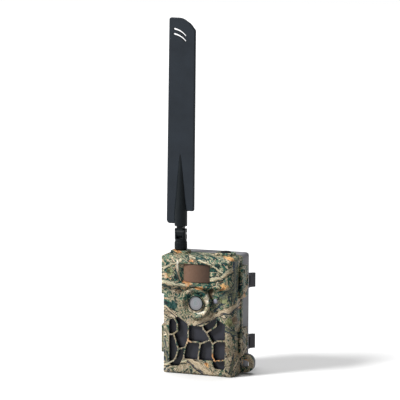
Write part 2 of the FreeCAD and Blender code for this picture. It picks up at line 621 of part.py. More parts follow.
def key(x, z):
    cap = turned([(0, 0), (KEY_R - 0.5, 0), (KEY_R, -0.4), (KEY_R, -3.1), (KEY_R + 0.9, -3.1),
                  (KEY_R + 0.9, -4.0), (0, -4.0)], (x, -11.2, z), (0, 1, 0))
    dish = Part.makeSphere(9.0, V(x, -11.2 + 8.75, z))
    return cut(cap, [dish])


def mode_switch():
    x, z = SWITCH_X, SWITCH_Z
    knob = rounded_box(x - 4.2, x + 4.2, -14.1, -10.8, z - 1.95, z + 1.95, 1.0)
    ridges = [box(x - 3.2 + 1.4 * i, x - 2.6 + 1.4 * i, -11.2, -10, z - 3, z + 3) for i in range(5)]
    foot = box(x - 5.5, x + 5.5, -15.3, -14.05, z - 3, z + 3)
    return cut(fuse([knob, foot]), ridges)


def card_socket(card, metal=0.35):
    """Folded metal shell that holds a card."""
    half, t = card["w"] / 2 + 0.8, card["t"]
    y1 = COVER_Y0 - 0.15
    top = card["z"] + card["h"] + 1.5
    outer = box(card["x"] - half, card["x"] + half, y1 - t - 1.3, y1, card["z"] + 5, top)
    inner = box(card["x"] - half + metal, card["x"] + half - metal, y1 - t - 1.3 + metal, y1 - metal,
                card["z"] + 4, card["z"] + card["h"] + 0.6)
    return cut(outer, [inner])


def card_outline(card, notch):
    x0, x1, z0, z1 = card["x"] - card["w"] / 2, card["x"] + card["w"] / 2, card["z"], card["z"] + card["h"]
    y1 = COVER_Y0 - 0.15 - 0.35 - 0.15
    return prism("xz", [(x0, z0), (x1, z0), (x1, z1 - notch), (x1 - notch, z1), (x0, z1)],
                 y1 - card["t"], y1, [0.8, 0.8, 0, 0, 0.5])


def sd_card():
    return card_outline(SD, 4.0)


def sim_card():
    return card_outline(SIM, 2.5)


def cover_screws():
    return group(pan_screw(x, COVER_Y1 + 0.02, z, 1, 2.4, 0.9, 1.15, 9.0) for x, z in COVER_SCREWS)


def board_screws():
    return group(pan_screw(x, -20.58, z, 1, 2.3, 1.2, 1.3, 5.0) for x, z in BOARD_SCREWS)


# ---- latches --------------------------------------------------------------------------------------
def latch(centre, half):
    """Lever on a pin, with a finger edge and a shallow hook behind the rear shell's catch."""
    inner = LATCH_X - 1.2
    z0, z1 = centre - half, centre + half
    barrel = cyl(LATCH_BARREL, (LATCH_X, LATCH_Y, z0 + 3.8), (0, 0, 1), 2 * half - 7.6)
    neck = box(inner, EAR_X, LATCH_Y, -21.5, z0 + 3.8, z1 - 3.8)
    plate = prism("yz", [(-22.0, z0), (-4.2, z0), (-4.2, z1), (-22.0, z1)], inner, EAR_X, [0.8, 2.5, 2.5, 0.8])
    hook = box(LATCH_X - 1.9, inner + 0.5, -6.4, -4.2, z0 + 4, z1 - 4)
    edge = box(EAR_X - 0.2, EAR_X + 0.9, -6.6, -4.2, centre - 7, centre + 7)
    lever = fuse([barrel, neck, plate, hook, edge])
    bore = cyl(PIN_R + PIN_GAP, (LATCH_X, LATCH_Y, z0), (0, 0, 1), 2 * half)
    return cut(lever, [bore] + ear_windows(1, -18.2))


def latch_pins():
    return group(cyl(PIN_R, (LATCH_X, LATCH_Y, c - h + 0.2), (0, 0, 1), 2 * h - 0.4)
                 for c, h in LATCHES.values())


# ---- antenna --------------------------------------------------------------------------------------
def sma_connector():
    """Threaded bulkhead connector with its inner flange."""
    return turned([(0.7, 143.0), (5.6, 143.0), (5.6, 147.1), (SMA_R, 147.1), (SMA_R, 160.0), (2.3, 160.0),
                   (2.3, 156.0), (0.7, 156.0)], (ANT_X, ANT_Y, 0), (0, 0, 1))


def spare_port_cap():
    """Blanking cap in the second antenna port."""
    r = 4.9
    return turned([(0, 146.0), (r, 146.0), (r, BOSS_TOP + 0.05), (6.6, BOSS_TOP + 0.05), (6.6, BOSS_TOP + 0.9),
                   (5.9, BOSS_TOP + 1.6), (0, BOSS_TOP + 1.6)], (-ANT_X, ANT_Y, 0), (0, 0, 1))


def antenna_nut():
    """Knurled coupling nut that turns freely round the connector and the antenna's neck."""
    z0, z1 = NUT_Z0, NUT_Z0 + NUT_H
    profile = [(SMA_R + 0.07, z0), (NUT_R - 1.4, z0), (NUT_R, z0 + 1.6), (NUT_R, z1 - 0.6), (NUT_R - 0.6, z1),
               (5.06, z1), (5.06, z1 - 2.0), (6.5, z1 - 2.0), (6.5, z0 + 4.2), (SMA_R + 0.07, z0 + 4.2)]
    body = turned(profile, (ANT_X, ANT_Y, 0), (0, 0, 1))
    count = 24
    grooves = []
    for i in range(count):
        a = 2 * math.pi * i / count
        x, y = ANT_X + (NUT_R + 0.1) * math.cos(a), ANT_Y + (NUT_R + 0.1) * math.sin(a)
        grooves.append(cyl(0.42, (x, y, z0 + 2.4), (0, 0, 1), NUT_H - 4.2))
    return cut(body, grooves)


def antenna_swivel():
    """Flange and neck captive in the nut, and the fork that carries the fold pin."""
    nut_top = NUT_Z0 + NUT_H
    stem = turned([(0, nut_top - 4.9), (6.3, nut_top - 4.9), (6.3, nut_top - 2.2), (5.0, nut_top - 2.2),
                   (5.0, nut_top + 0.3), (7.4, nut_top + 0.3), (7.4, 169.2), (0, 169.2)],
                  (ANT_X, ANT_Y, 0), (0, 0, 1))
    cheeks = [box(ANT_X + a, ANT_X + b, ANT_Y - 6.2, ANT_Y + 6.2, 168.5, KNUCKLE_Z)
              for a, b in ((-7.2, -4.1), (4.1, 7.2))]
    cheeks += [cyl(6.2, (ANT_X + a, ANT_Y, KNUCKLE_Z), (1, 0, 0), 3.1) for a in (-7.2, 4.1)]
    fork = fuse(cheeks).common(cyl(7.9, (ANT_X, ANT_Y, 160), (0, 0, 1), 40))
    return cut(fuse([stem, fork]), [cyl(1.6, (ANT_X - 9, ANT_Y, KNUCKLE_Z), (1, 0, 0), 18)])


def knuckle_pin():
    return cyl(1.6, (ANT_X - 7.4, ANT_Y, KNUCKLE_Z), (1, 0, 0), 14.8)


def stem_cone(grow=0.0):
    """Round foot and long taper that run up the front of the blade."""
    r = STEM_R + grow
    return turned([(0, STEM_Z0), (r - 0.6, STEM_Z0), (r, STEM_Z0 + 0.6), (r, 206), (r * 0.78, 222),
                   (r * 0.36, 268), (1.0 + grow, STEM_TIP), (0, STEM_TIP + 1)], (ANT_X, ANT_Y, 0), (0, 0, 1))


def antenna_stem():
    tongue = [cyl(6.1, (ANT_X - 3.95, ANT_Y, KNUCKLE_Z), (1, 0, 0), 7.9),
              box(ANT_X - 3.95, ANT_X + 3.95, ANT_Y - 4.6, ANT_Y + 4.6, KNUCKLE_Z, STEM_Z0 + 1)]
    return cut(fuse(tongue + [stem_cone()]), [cyl(1.65, (ANT_X - 9, ANT_Y, KNUCKLE_Z), (1, 0, 0), 18)])


def blade_outline():
    """Paddle seen from the front: X from the antenna's axis, Z, and each corner's radius."""
    return [((-18.7, 188.0), 4.5), ((-6.0, 188.0), 0.5), ((-6.0, 204.5), 0.5), ((17.6, 204.5), 2.0),
            ((19.2, 430.5), 2.5), ((13.0, 438.5), 14.0), ((2.0, 446.0), 18.0), ((-15.2, 446.5), 3.0)]


def blade_slot(x0, z0, x1, z1, rise, half=1.15):
    """Curved slot near the tip, bowed like the blade's upper edge."""
    middle = ((x0 + x1) / 2 + rise * 0.5, (z0 + z1) / 2 + rise)
    start, end = V(ANT_X + x0, -40, z0), V(ANT_X + x1, -40, z1)
    path = Part.Arc(start, V(ANT_X + middle[0], -40, middle[1]), end).toShape()
    centre, radius = path.Curve.Center, path.Curve.Radius
    ring = cut(cyl(radius + half, centre, (0, 1, 0), 40), [cyl(radius - half, centre, (0, 1, 0), 40)])
    a0 = math.atan2(end.z - centre.z, end.x - centre.x)
    a1 = math.atan2(start.z - centre.z, start.x - centre.x)
    far = radius * 3
    wedge = prism("xz", [(centre.x, centre.z), (centre.x + far * math.cos(a0), centre.z + far * math.sin(a0)),
                         (centre.x + far * math.cos(a1), centre.z + far * math.sin(a1))], -41, 1)
    ends = [cyl(half, (p.x, -40, p.z), (0, 1, 0), 40) for p in (start, end)]
    return fuse([ring.common(wedge)] + ends)


def antenna_paddle():
    """Flat blade, thin at its bevelled rim, cut round the stem."""
    points = [(ANT_X + p[0], p[1]) for p, _ in blade_outline()]
    radii = [r for _, r in blade_outline()]
    y0 = ANT_Y - BLADE_T / 2
    blade = prism("xz", points, y0, y0 + BLADE_T, radii)
    rim_edges = [e for e in blade.Edges if abs(e.BoundBox.YMin - e.BoundBox.YMax) < 1e-6]
    blade = blade.makeChamfer(0.9, rim_edges)
    slots = [blade_slot(-9.0, 432.3, 6.0, 423.8, 1.4), blade_slot(-9.2, 426.0, 6.2, 417.2, 1.4)]
    return cut(blade, slots + [stem_cone(0.02)])


# ---- table of sub-parts ---------------------------------------------------------------------------
def sub_parts():
    parts = {
        "rear_shell": rear_shell(), "case_gasket": case_gasket(), "tripod_insert": tripod_insert(),
        "bracket_screws": bracket_screws(), "hinge_pins": hinge_pins(), "battery_tray": battery_tray(),
        "battery_cells": battery_cells(), "battery_springs": battery_springs(),
        "battery_contacts": battery_contacts(), "front_shell": front_shell(), "lens_bezel": lens_bezel(),
        "lens_trim_ring": lens_trim_ring(), "lens_window": lens_window(), "lens_barrel": lens_barrel(),
        "lens_element": lens_element(), "lens_holder": lens_holder(), "ir_cut_filter": ir_cut_filter(),
        "image_sensor": image_sensor(), "pir_lens": pir_lens(), "pir_sensor": pir_sensor(),
        "pir_board": pir_board(), "light_sensor_window": light_sensor_window(), "microphone": microphone(),
        "ir_window": ir_window(), "ir_leds": ir_leds(), "ir_led_board": ir_led_board(),
        "main_board": main_board(), "processor": processor(), "modem_shield": modem_shield(),
        "keypad_board": keypad_board(), "inner_cover": inner_cover(),
        "lcd_screen": lcd_screen(), "mode_switch": mode_switch(), "sd_socket": card_socket(SD),
        "sim_socket": card_socket(SIM), "sd_card": sd_card(), "sim_card": sim_card(),
        "cover_screws": cover_screws(), "board_screws": board_screws(), "dc_socket": dc_socket(),
        "dc_bung": dc_bung(), "latch_pins": latch_pins(), "sma_connector": sma_connector(),
        "spare_port_cap": spare_port_cap(), "antenna_nut": antenna_nut(), "antenna_swivel": antenna_swivel(),
        "knuckle_pin": knuckle_pin(), "antenna_stem": antenna_stem(), "antenna_paddle": antenna_paddle(),
    }
    parts.update({f"strap_bracket_{name}": strap_bracket(*span) for name, span in BRACKETS.items()})
    parts.update({f"latch_{name}": latch(*span) for name, span in LATCHES.items()})
    parts.update({name: key(*place) for name, place in KEYS.items()})
    return parts


os.makedirs("parts", exist_ok=True)
for node, shape in sub_parts().items():
    if not shape.isValid() or not shape.Solids:
        raise SystemExit(f"{node} is not a valid solid")
    shape.exportStep(f"parts/{node}.step")
    print(f"{node}: {len(shape.Solids)} solid(s), {shape.Volume / 1000:.2f} cm3")
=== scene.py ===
"""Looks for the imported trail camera: studio, camera, procedural materials and small detail pieces."""
import json
import math

import bmesh
import bpy
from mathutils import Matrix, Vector


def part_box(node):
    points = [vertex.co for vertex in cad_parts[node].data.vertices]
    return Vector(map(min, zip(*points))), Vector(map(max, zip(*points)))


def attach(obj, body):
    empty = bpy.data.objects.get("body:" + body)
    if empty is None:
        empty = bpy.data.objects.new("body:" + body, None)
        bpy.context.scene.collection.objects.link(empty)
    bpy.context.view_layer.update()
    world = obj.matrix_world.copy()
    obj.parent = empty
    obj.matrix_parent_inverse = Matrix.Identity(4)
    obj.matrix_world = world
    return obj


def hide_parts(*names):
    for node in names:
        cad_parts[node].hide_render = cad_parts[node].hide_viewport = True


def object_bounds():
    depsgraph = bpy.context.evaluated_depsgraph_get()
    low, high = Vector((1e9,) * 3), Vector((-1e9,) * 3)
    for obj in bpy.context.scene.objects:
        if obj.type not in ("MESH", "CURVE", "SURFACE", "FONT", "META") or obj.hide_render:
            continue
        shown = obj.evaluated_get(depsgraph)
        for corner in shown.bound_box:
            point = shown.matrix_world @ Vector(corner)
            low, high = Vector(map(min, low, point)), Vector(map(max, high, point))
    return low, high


MM = 0.001
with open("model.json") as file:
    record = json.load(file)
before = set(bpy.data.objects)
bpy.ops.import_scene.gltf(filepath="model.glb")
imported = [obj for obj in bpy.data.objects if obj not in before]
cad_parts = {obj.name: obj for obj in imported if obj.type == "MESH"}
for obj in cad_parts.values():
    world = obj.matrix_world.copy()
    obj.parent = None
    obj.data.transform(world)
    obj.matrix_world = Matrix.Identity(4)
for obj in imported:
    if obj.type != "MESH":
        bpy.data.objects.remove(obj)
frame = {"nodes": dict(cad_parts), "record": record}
cad_low, cad_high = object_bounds()
nodes, record = frame["nodes"], frame["record"]


def middle(node):
    low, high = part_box(node)
    return (low + high) / 2


# ---- camera and studio ----------------------------------------------------------------------------
CAMERA = {"azimuth": 20.26, "elevation": 7.23, "roll": -0.17, "distance": 2.2, "lens": 157.7}
TARGET = Vector((-6.35, -17.0, 218.4)) * MM
FLOOR_HALF, FLOOR_GAP = 30.0, 0.2 * MM
SKY_SEEN, SKY_LIGHT = 1.0, 0.2              # strength of the white world, as seen and as light


def aim(thing, position, target):
    thing.location = position
    thing.rotation_euler = (Vector(target) - Vector(position)).to_track_quat("-Z", "Y").to_euler()


def make_camera():
    azimuth, elevation = math.radians(CAMERA["azimuth"]), math.radians(CAMERA["elevation"])
    away = Vector((math.sin(azimuth) * math.cos(elevation), -math.cos(azimuth) * math.cos(elevation),
                   math.sin(elevation)))
    camera = bpy.data.objects.new("camera", bpy.data.cameras.new("camera"))
    bpy.context.scene.collection.objects.link(camera)
    aim(camera, TARGET + away * CAMERA["distance"], TARGET)
    camera.rotation_euler.rotate_axis("Z", math.radians(-CAMERA["roll"]))
    camera.data.sensor_width = 36.0
    camera.data.lens = CAMERA["lens"]
    camera.data.clip_end = 200.0
    bpy.context.scene.camera = camera


def sun(name, direction, angle, strength):
    """Soft distant light: direction points from the object to the light."""
    light = bpy.data.lights.new(name, "SUN")
    light.angle, light.energy = math.radians(angle), strength
    thing = bpy.data.objects.new(name, light)
    bpy.context.scene.collection.objects.link(thing)
    aim(thing, Vector(direction), (0, 0, 0))


def make_lights():
    """A soft key light from the upper left, a weaker one overhead, and a world that lights less than it shows."""
    sun("key", (-1.0, -0.85, 0.95), 16.0, 3.9)
    sun("top", (-0.1, 0.25, 1.0), 40.0, 1.6)

    world = bpy.data.worlds.new("studio")
    world.use_nodes = True
    tree = world.node_tree
    background = tree.nodes["Background"]
    background.inputs["Color"].default_value = (1, 1, 1, 1)
    path = tree.nodes.new("ShaderNodeLightPath")
    strength = tree.nodes.new("ShaderNodeMapRange")
    strength.inputs["To Min"].default_value = SKY_LIGHT
    strength.inputs["To Max"].default_value = SKY_SEEN
    tree.links.new(path.outputs["Is Camera Ray"], strength.inputs["Value"])
    tree.links.new(strength.outputs["Result"], background.inputs["Strength"])
    bpy.context.scene.world = world
    bpy.context.scene.view_settings.view_transform = "Standard"


def make_floor():
    """Pale paper that gives back less light than it shows, so that the undersides stay dark."""
    mesh = bpy.data.meshes.new("floor")
    corners = [(x * FLOOR_HALF, y * FLOOR_HALF, 0) for x, y in ((-1, -1), (1, -1), (1, 1), (-1, 1))]
    mesh.from_pydata(corners, [], [(0, 1, 2, 3)])
    floor = bpy.data.objects.new("floor", mesh)
    floor.location.z = cad_low[2] - FLOOR_GAP
    bpy.context.scene.collection.objects.link(floor)
    shader = Shader("floor_paper", roughness=0.9, specular=0.1)
    bounce = shader.add("ShaderNodeLightPath").outputs["Is Diffuse Ray"]
    shader.put("Base Color", shader.mix(bounce, (0.93, 0.93, 0.93), (0.32, 0.32, 0.32)))
    floor.data.materials.append(shader.material)


# ---- shader helpers -------------------------------------------------------------------------------
class Shader:
    """A material with one Principled shader, and short ways to add the nodes that feed it."""

    def __init__(self, name, colour=(0.5, 0.5, 0.5), roughness=0.5, metallic=0.0, specular=0.5):
        self.material = bpy.data.materials.new(name)
        self.material.use_nodes = True
        self.tree = self.material.node_tree
        self.main = self.tree.nodes["Principled BSDF"]
        self.put("Base Color", (*colour, 1))
        self.put("Roughness", roughness)
        self.put("Metallic", metallic)
        self.put("Specular IOR Level", specular)
        self.place = self.add("ShaderNodeTexCoord").outputs["Object"]

    def put(self, socket, value):
        """Sets a socket of the main shader to a value, or links it to another node's output."""
        self.fill(self.main.inputs[socket], value)

    def fill(self, socket, value):
        if isinstance(value, bpy.types.NodeSocket):
            self.tree.links.new(value, socket)
        elif value is not None:
            socket.default_value = value

    def add(self, kind, inputs=None, **settings):
        node = self.tree.nodes.new(kind)
        for key, value in settings.items():
            setattr(node, key, value)
        for key, value in (inputs or {}).items():
            self.fill(node.inputs[key], value)
        return node

    def math(self, operation, a, b=None):
        return self.add("ShaderNodeMath", {0: a, 1: b}, operation=operation).outputs[0]

    def sway(self, value, amount):
        """Turns a pattern value round 0.5 into a push to either side."""
        return self.math("MULTIPLY", self.math("SUBTRACT", value, 0.5), amount)

    def both(self, a, b):
        return self.math("MULTIPLY", a, b)

    def vector(self, operation, a, b=None, scale=None, out=0):
        inputs = {0: a, 1: b}
        if scale is not None:
            inputs["Scale"] = scale
        return self.add("ShaderNodeVectorMath", inputs, operation=operation).outputs[out]

    def stretch(self, source, scale=(1, 1, 1), rotation=(0, 0, 0), location=(0, 0, 0)):
        turn = tuple(math.radians(a) for a in rotation)
        return self.add("ShaderNodeMapping", {"Vector": source, "Scale": scale, "Rotation": turn,
                                              "Location": location}).outputs[0]

    def noise(self, source, scale, detail=3.0, roughness=0.5, out="Fac"):
        return self.add("ShaderNodeTexNoise", {"Vector": source, "Scale": scale, "Detail": detail,
                                               "Roughness": roughness}).outputs[out]

    def drift(self, source, scale, detail, roughness, reach):
        """Pushes places about by up to half of reach, in the source's units."""
        cloud = self.noise(source, scale, detail, roughness, out="Color")
        return self.vector("SCALE", self.vector("SUBTRACT", cloud, (0.5, 0.5, 0.5)), scale=reach)

    def cells(self, source, scale, feature="F1", out="Distance", randomness=1.0):
        return self.add("ShaderNodeTexVoronoi", {"Vector": source, "Scale": scale, "Randomness": randomness},
                        feature=feature).outputs[out]

    def ramp(self, source, stops, constant=False):
        node = self.add("ShaderNodeValToRGB", {0: source})
        band = node.color_ramp
        band.interpolation = "CONSTANT" if constant else "LINEAR"
        while len(band.elements) < len(stops):
            band.elements.new(1.0)
        for element, (position, colour) in zip(band.elements, stops):
            element.position = position
            element.color = (*colour, 1)
        return node.outputs[0]

    def span(self, source, low, high, to_low=0.0, to_high=1.0):
        """Carries one range over to another, and holds it there at both ends."""
        return self.add("ShaderNodeMapRange", {"Value": source, "From Min": low, "From Max": high,
                                               "To Min": to_low, "To Max": to_high}).outputs[0]

    def within(self, value, low, high):
        return self.both(self.math("GREATER_THAN", value, low), self.math("LESS_THAN", value, high))

    def near_zero(self, value, reach):
        return self.math("LESS_THAN", self.math("ABSOLUTE", value), reach)

    def mix(self, factor, a, b, blend="MIX"):
        """Goes from a to b, each a colour or an output."""
        node = self.add("ShaderNodeMix", data_type="RGBA", blend_type=blend)
        for socket, value in ((node.inputs[0], factor), (node.inputs[6], a), (node.inputs[7], b)):
            self.fill(socket, (*value, 1) if isinstance(value, tuple) and len(value) == 3 else value)
        return node.outputs[2]

    def bump(self, height, strength=0.2, distance=0.0002, edge=0.0):
        """Relief on the main shader, with softened edges where edge is a radius in metres."""
        inputs = {"Height": height, "Strength": strength, "Distance": distance}
        if edge:
            inputs["Normal"] = self.add("ShaderNodeBevel", {"Radius": edge}, samples=4).outputs[0]
        self.put("Normal", self.add("ShaderNodeBump", inputs).outputs[0])

    def millimetres(self):
        """Place in the object's frame, in millimetres."""
        return self.vector("SCALE", self.place, scale=1000.0)

    def join(self, x, y, z=0.0):
        return self.add("ShaderNodeCombineXYZ", {0: x, 1: y, 2: z}).outputs[0]

    def split(self, source):
        node = self.add("ShaderNodeSeparateXYZ", {0: source})
        return node.outputs[0], node.outputs[1], node.outputs[2]


# ---- camouflage -----------------------------------------------------------------------------------
CREAM, TAN, ORANGE = (0.88, 0.76, 0.55), (0.45, 0.32, 0.18), (0.85, 0.40, 0.15)
BARK, BROWN, OLIVE = (0.20, 0.14, 0.08), (0.10, 0.065, 0.03), (0.26, 0.28, 0.13)
SAGE, TEAL, DEEP_TEAL = (0.36, 0.42, 0.25), (0.012, 0.17, 0.13), (0.002, 0.05, 0.042)
NAVY, INK, PEACH = (0.035, 0.06, 0.09), (0.003, 0.006, 0.007), (0.86, 0.60, 0.36)

# Colours across a branch, from its upper edge to its lower edge.
LIGHT = [(0.0, INK), (0.1, DEEP_TEAL), (0.2, CREAM), (0.4, SAGE), (0.52, CREAM), (0.64, TAN),
         (0.8, DEEP_TEAL), (1.0, INK)]
WARM = [(0.0, INK), (0.1, TAN), (0.25, CREAM), (0.45, TAN), (0.58, CREAM), (0.72, BARK),
        (0.88, NAVY), (1.0, INK)]
DARK = [(0.0, INK), (0.15, NAVY), (0.3, OLIVE), (0.4, NAVY), (0.55, BARK), (0.66, SAGE),
        (0.78, INK), (1.0, NAVY)]

# Foliage, from the low end of its noise to the high end: upper part, lower part, and patches over both.
GREEN = [(0.37, INK), (0.43, DEEP_TEAL), (0.47, TEAL), (0.5, DEEP_TEAL), (0.515, OLIVE), (0.54, CREAM),
         (0.56, OLIVE), (0.58, DEEP_TEAL), (0.62, TEAL), (0.66, SAGE), (0.7, INK)]
EARTH = [(0.36, INK), (0.42, NAVY), (0.46, CREAM), (0.49, BARK), (0.51, TAN), (0.54, CREAM),
         (0.57, BROWN), (0.60, OLIVE), (0.64, CREAM), (0.7, INK)]
DAPPLE = [(0.40, INK), (0.46, DEEP_TEAL), (0.485, TEAL), (0.5, OLIVE), (0.52, BROWN), (0.55, CREAM),
          (0.58, TAN), (0.62, DEEP_TEAL)]

# The print lies flat on the front and is carried over the sides and the top, by these shares of the depth.
PRINT_Y, SIDE_SHARE, TOP_SHARE = -43.0, 0.9, 0.3

# Large branches: start and end in the print's plane (mm), half width, and colours.
BRANCHES = [
    ((10, 118), (52, 139), 4.6, LIGHT), ((19, 86), (66, 126), 5.6, DARK), ((-6, 64), (72, 98), 3.6, WARM),
    ((-50, 92), (-26, 70), 1.6, WARM), ((-12, 20), (20, 1), 5.0, WARM), ((34, 62), (84, 52), 3.6, DARK),
    ((56, 150), (50, 96), 4.0, DARK), ((-52, 8), (-14, 16), 3.4, LIGHT), ((-36, 148), (-26, 118), 2.0, WARM),
    ((-58, 116), (-20, 110), 3.6, LIGHT), ((60, 96), (100, 132), 4.6, WARM), ((46, 8), (86, 44), 2.6, WARM),
    ((70, 60), (100, 96), 3.4, LIGHT), ((-46, 60), (-40, 14), 1.8, DARK), ((-10, 150), (30, 132), 2.2, LIGHT),
    ((-12, 113), (22, 100), 2.2, DARK), ((58, 40), (44, 4), 3.0, DARK), ((-48, 132), (-24, 146), 2.4, LIGHT),
]


def branch_strokes(s, flat, base, bend, grit):
    """Lays the large branches over a base colour, broken up by bark."""
    for (x0, z0), (x1, z1), half, tones in BRANCHES:
        start, end = Vector((x0, z0, 0)), Vector((x1, z1, 0))
        length = (end - start).length
        along = (end - start).normalized()
        across = Vector((along.y, -along.x, 0)) * (1 if along.x > 0 else -1)
        place = s.vector("SUBTRACT", flat, tuple(start))
        u = s.vector("DOT_PRODUCT", place, tuple(along), out=1)
        v = s.vector("DOT_PRODUCT", place, tuple(across), out=1)
        v = s.math("ADD", v, s.sway(bend, half * 3.0))
        bark_place = s.join(s.math("MULTIPLY", u, 0.2), v, half)
        bark = s.noise(bark_place, 0.8, 4.0, 0.75)
        ragged = s.math("ADD", v, s.sway(grit, 3.2))
        shade = s.math("ADD", s.span(v, -half, half), s.sway(bark, 1.5))
        beside = s.near_zero(ragged, half)
        between_ends = s.near_zero(s.math("SUBTRACT", u, length / 2), length / 2)
        base = s.mix(s.both(beside, between_ends), base, s.ramp(shade, tones))
    return base


TWIG_LENGTH = 30.0


def twigs(s, flat, base, angle, period, share, seed):
    """Thin twigs in one direction (degrees), a period apart (mm), broken up so that they come and go."""
    turned = s.stretch(flat, rotation=(0, 0, angle), location=(seed, 2 * seed, 0))
    bend = s.noise(turned, 0.06, 2.0)
    along, across, _ = s.split(turned)
    across = s.math("ADD", across, s.math("MULTIPLY", bend, 30.0))
    turns = s.math("DIVIDE", across, period)
    phase = s.math("FRACT", turns)
    piece = s.math("FLOOR", s.math("DIVIDE", along, TWIG_LENGTH))
    cell = s.join(s.math("FLOOR", turns), piece, seed)
    chance = s.add("ShaderNodeTexWhiteNoise", {"Vector": cell}).outputs["Value"]
    inside = s.both(s.math("LESS_THAN", phase, share), s.math("GREATER_THAN", chance, 0.5))
    tones = [(0.0, INK), (0.2, CREAM), (0.5, TAN), (0.62, DEEP_TEAL), (1.0, INK)]
    return s.mix(inside, base, s.ramp(s.math("DIVIDE", phase, share), tones))


def leaf_patches(s, flat, base, fine):
    """Ragged dead leaves in orange and tan with dark veins."""
    leaf_scale, vein_scale = 0.05, 0.3
    place = s.stretch(s.vector("ADD", flat, s.drift(flat, 0.16, 3.0, 0.6, 13.0)), (1, 1.5, 1), (0, 0, -24))
    distance = s.cells(place, leaf_scale)
    pick, tone, _ = s.split(s.cells(place, leaf_scale, out="Color"))
    shade = s.math("ADD", s.math("MULTIPLY", tone, 0.35), s.math("MULTIPLY", fine, 0.9))
    colour = s.ramp(shade, [(0.34, BROWN), (0.46, ORANGE), (0.58, PEACH), (0.68, CREAM), (0.8, BARK)])
    vein = s.cells(place, vein_scale, "DISTANCE_TO_EDGE")
    colour = s.mix(s.span(vein, 0.0, 0.06, 0.9, 0.0), colour, BROWN)
    chosen = s.math("GREATER_THAN", pick, 0.66)
    base = s.mix(s.both(s.math("LESS_THAN", distance, 0.42), chosen), base, INK)
    return s.mix(s.both(s.math("LESS_THAN", distance, 0.37), chosen), base, colour)


# Single blotches: centre and half size in the print's plane (mm), colour. Most give the print its character; the
# cream ones at (1, 80) and (10, 99) are painted highlights on the bottom and the right of the lens dish, and the
# brown one at (18, 104) is painted shade on the right side of the lens ring.
BLOTCHES = [
    ((31, 114), (8, 5), ORANGE), ((1, 110), (8, 2.6), ORANGE), ((18, 104), (2.6, 8), BROWN),
    ((10, 99), (3.5, 8), CREAM), ((1, 80), (9, 3), CREAM), ((-11, 84), (3, 5), CREAM),
    ((-33, 87), (7, 7), DEEP_TEAL), ((43, 70), (7, 5), OLIVE), ((14, 14), (6, 3), ORANGE),
    ((4, 148), (12, 2.4), DEEP_TEAL), ((-30, 138), (2.4, 8), CREAM), ((48, 142), (2.6, 8), NAVY),
    ((44, 151), (8, 4), ORANGE), ((-40, 128), (5, 7), OLIVE), ((-20, 158), (6, 3), ORANGE),
    ((56, 30), (5, 8), TAN), ((78, 108), (5, 4), ORANGE), ((80, 24), (5, 4), ORANGE),
    ((36, 96), (6, 4), OLIVE), ((-13, 101), (4, 4), DEEP_TEAL), ((40, 36), (4, 7), BARK),
    ((-46, 40), (4, 12), SAGE),
]


def blotches(s, loose, base, grit):
    """Lays the single blotches over a base colour, with ragged edges and three tones each; a few are painted
    highlights and shade rather than print.
    """
    for (x0, z0), (wide, high), colour in BLOTCHES:
        place = s.vector("DIVIDE", s.vector("SUBTRACT", loose, (x0, z0, 0)), (wide, high, 1))
        reach = s.math("ADD", s.vector("LENGTH", place, out=1), s.sway(grit, 3.0))
        dark = tuple(c * 0.3 for c in colour)
        bright = tuple(min(c * 1.4 + 0.05, 0.9) for c in colour)
        tones = s.ramp(grit, [(0.4, dark), (0.48, colour), (0.56, bright), (0.64, colour)])
        base = s.mix(s.span(reach, 0.85, 1.0, 1.0, 0.0), base, tones)
    return base


def camo_pattern(s):
    """Printed woodland: mottled foliage, leaves, twigs, large branches and blotches, among which are painted
    highlights and shade at the lens ring. Returns colour and a relief.
    """
    x, y, z = s.split(s.millimetres())
    depth = s.math("SUBTRACT", y, PRINT_Y)
    flat = s.join(s.math("ADD", x, s.math("MULTIPLY", depth, SIDE_SHARE)),
                  s.math("ADD", z, s.math("MULTIPLY", depth, TOP_SHARE)))
    sway = s.drift(flat, 0.12, 3.0, 0.5, 16.0)
    loose = s.vector("ADD", flat, sway)
    coarse = s.noise(loose, 0.05, 2.0)
    fine = s.noise(s.stretch(loose, (1, 0.5, 1), (0, 0, 35)), 0.19, 5.0, 0.62)
    other = s.noise(s.stretch(loose, (1, 0.45, 1), (0, 0, -42), (31, 7, 0)), 0.17, 5.0, 0.62)
    green = s.ramp(fine, GREEN)
    earth = s.ramp(fine, EARTH)
    height = s.math("ADD", s.span(z, 50.0, 112.0), s.sway(coarse, 2.0))
    ground = s.mix(s.span(height, 0.35, 0.65), earth, green)
    dapple = s.ramp(other, DAPPLE)
    ground = s.mix(s.span(s.noise(loose, 0.11, 2.0), 0.44, 0.56), ground, dapple)
    ground = twigs(s, flat, ground, 52.0, 19.0, 0.09, 3.0)
    ground = leaf_patches(s, flat, ground, other)
    ground = twigs(s, flat, ground, -38.0, 23.0, 0.09, 11.0)
    ground = branch_strokes(s, flat, ground, coarse, fine)
    near = s.vector("ADD", flat, s.vector("SCALE", sway, scale=0.3))
    # The blotches include painted highlights in the lens dish and painted shade beside the lens ring.
    ground = blotches(s, near, ground, other)
    ground = twigs(s, flat, ground, 24.0, 37.0, 0.05, 23.0)
    speckle = s.noise(flat, 1.3, 3.0, 0.75)
    shade = s.span(speckle, 0.3, 0.7, 0.2, 1.5)
    return s.vector("SCALE", ground, scale=shade), fine


RIB_DEPTH, WALL = 4.5, 2.9                  # front shell (mm): ribs in front of the window, and wall
CAVITY_Y, CAVITY_HALF = -37.0, 46.4         # front shell's cavity (mm): its front end and half width


